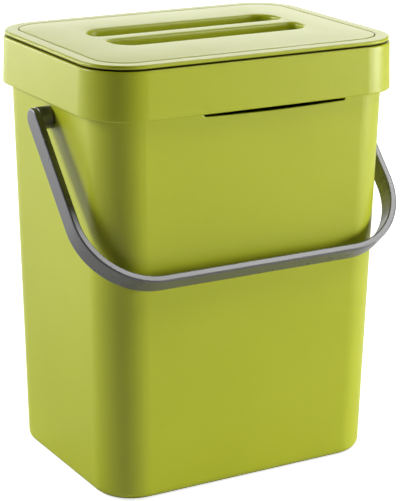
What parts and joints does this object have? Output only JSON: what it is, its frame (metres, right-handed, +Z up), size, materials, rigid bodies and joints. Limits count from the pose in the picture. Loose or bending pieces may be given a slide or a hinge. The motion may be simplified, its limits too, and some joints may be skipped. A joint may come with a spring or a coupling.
{
  "type": "hanging bin",
  "caption": "Lidded rectangular hanging bin with tapered sides, lift-off collar, lid with sunk finger grip, swinging bail and a hang slot for a bracket tongue.",
  "frame": {"origin": "middle of the flat base, on the surface the bin stands on", "axes": "+Z up, +X to the right along the long side, the hang slot and the resting bail face -Y"},
  "size_m": [0.2184, 0.1596, 0.2647],
  "materials": {
    "green_body": "satin",
    "green_collar": "satin",
    "green_lid": "satin",
    "green_panel": "satin",
    "grey_bail": "satin"
  },
  "bodies": {
    "bin": {"bin_body": "green_body"},
    "collar_frame": {"collar": "green_collar"},
    "lid": {"lid_shell": "green_lid", "lid_panel": "green_panel"},
    "handle": {"bail": "grey_bail"}
  },
  "joints": [
    {"name": "bail_swing", "type": "hinge", "parent": "bin", "child": "handle", "pos_m": [0, 0, 0.2212], "axis": [-1, 0, 0], "range_deg": [0, 274]},
    {"name": "collar_lift", "type": "slide", "parent": "bin", "child": "collar_frame", "axis": [0, 0, 1], "range_m": [0, 0.03]},
    {"name": "lid_lift", "type": "slide", "parent": "collar_frame", "child": "lid", "axis": [0, 0, 1], "range_m": [0, 0.035]}
  ]
}
